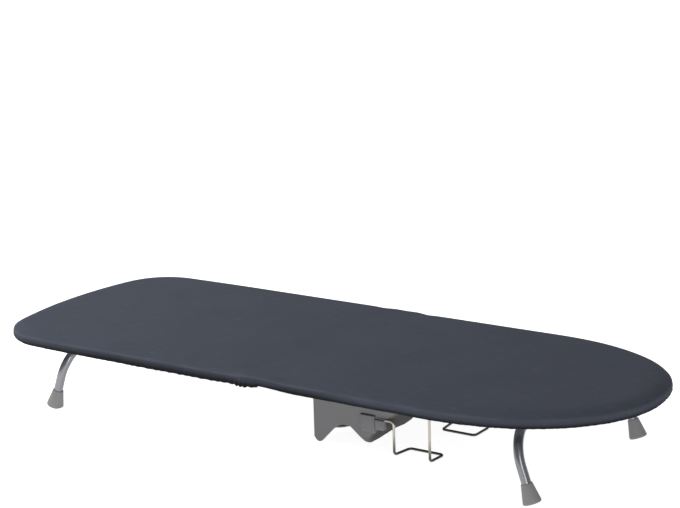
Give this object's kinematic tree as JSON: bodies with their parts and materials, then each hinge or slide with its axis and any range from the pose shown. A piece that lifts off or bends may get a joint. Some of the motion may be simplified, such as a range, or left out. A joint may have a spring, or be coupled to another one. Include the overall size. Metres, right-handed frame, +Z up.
{
  "type": "tabletop ironing board",
  "caption": "Low tabletop ironing board that folds in half cover to cover, with fold-under tube legs and an iron holder with wire retainers under its nose half.",
  "frame": {"origin": "on the table under the middle of the fold, at the centre of the board's outline", "axes": "+X to the nose, +Y to the far long side, +Z up"},
  "size_m": [0.908, 0.342, 0.112],
  "materials": {
    "cover_cloth": "dark slate woven cotton",
    "pad_felt": "pale needle felt",
    "grey_steel": "grey powder coat",
    "net_steel": "grey powder coat",
    "silver_tube": "silver powder coat",
    "bright_steel": "bright zinc or nickel plate",
    "grey_plastic": "moulded, matt",
    "foot_plastic": "moulded, matt",
    "white_plastic": "moulded, satin",
    "white_webbing": "ribbed elastic webbing",
    "black_cord": "braided cord"
  },
  "bodies": {
    "nose_half": {"nose_rim": "grey_steel", "nose_net": "net_steel", "nose_fold_rail": "grey_steel", "nose_pad": "pad_felt", "nose_cover": "cover_cloth", "nose_leg_crossbar": "grey_steel", "nose_bracket_base": "grey_steel", "nose_bracket_saddle": "grey_steel", "nose_bracket_rivet_1": "bright_steel", "nose_bracket_rivet_2": "bright_steel", "nose_bracket_rivet_3": "bright_steel", "nose_bracket_rivet_4": "bright_steel", "nose_hinge_leaf_near": "grey_steel", "nose_hinge_leaf_far": "grey_steel", "nose_hinge_pin_near": "bright_steel", "nose_hinge_pin_far": "bright_steel", "holder_crossbar": "grey_steel", "iron_holder": "grey_plastic", "holder_bar": "grey_plastic", "holder_screw_1": "bright_steel", "holder_screw_2": "bright_steel", "holder_wire_near": "bright_steel", "holder_wire_far": "bright_steel", "drawcord_lock": "white_plastic", "drawcord_loop": "black_cord"},
    "fold_link": {"hinge_link_near": "grey_steel", "hinge_link_far": "grey_steel"},
    "blunt_half": {"blunt_rim": "grey_steel", "blunt_net": "net_steel", "blunt_fold_rail": "grey_steel", "blunt_pad": "pad_felt", "blunt_cover": "cover_cloth", "blunt_leg_crossbar": "grey_steel", "blunt_bracket_base": "grey_steel", "blunt_bracket_saddle": "grey_steel", "blunt_bracket_rivet_1": "bright_steel", "blunt_bracket_rivet_2": "bright_steel", "blunt_bracket_rivet_3": "bright_steel", "blunt_bracket_rivet_4": "bright_steel", "blunt_hinge_leaf_near": "grey_steel", "blunt_hinge_leaf_far": "grey_steel", "blunt_hinge_pin_near": "bright_steel", "blunt_hinge_pin_far": "bright_steel", "blunt_rest_crossbar": "grey_steel", "strap_anchor": "grey_steel", "strap_pin": "bright_steel"},
    "nose_leg": {"nose_leg_tube": "silver_tube", "nose_leg_stop_pin": "bright_steel", "nose_foot_near": "foot_plastic", "nose_foot_far": "foot_plastic"},
    "blunt_leg": {"blunt_leg_tube": "silver_tube", "blunt_leg_stop_pin": "bright_steel", "blunt_foot_near": "foot_plastic", "blunt_foot_far": "foot_plastic"},
    "strap": {"closing_strap": "white_webbing", "strap_hook": "white_plastic"}
  },
  "joints": [
    {"name": "fold_link_turn", "type": "hinge", "parent": "nose_half", "child": "fold_link", "pos_m": [0.0085, 0, 0.105], "axis": [0, 1, 0], "range_deg": [0, 90]},
    {"name": "blunt_half_fold", "type": "hinge", "parent": "fold_link", "child": "blunt_half", "pos_m": [-0.0085, 0, 0.105], "axis": [0, 1, 0], "range_deg": [0, 90]},
    {"name": "nose_leg_fold", "type": "hinge", "parent": "nose_half", "child": "nose_leg", "pos_m": [0.334, 0, 0.0875], "axis": [0, 1, 0], "range_deg": [0, 104.5]},
    {"name": "blunt_leg_fold", "type": "hinge", "parent": "blunt_half", "child": "blunt_leg", "pos_m": [-0.343, 0, 0.0875], "axis": [0, -1, 0], "range_deg": [0, 104.5]},
    {"name": "strap_swing", "type": "hinge", "parent": "blunt_half", "child": "strap", "pos_m": [-0.424, 0, 0.0973], "axis": [0, 1, 0], "range_deg": [-60, 58]}
  ]
}
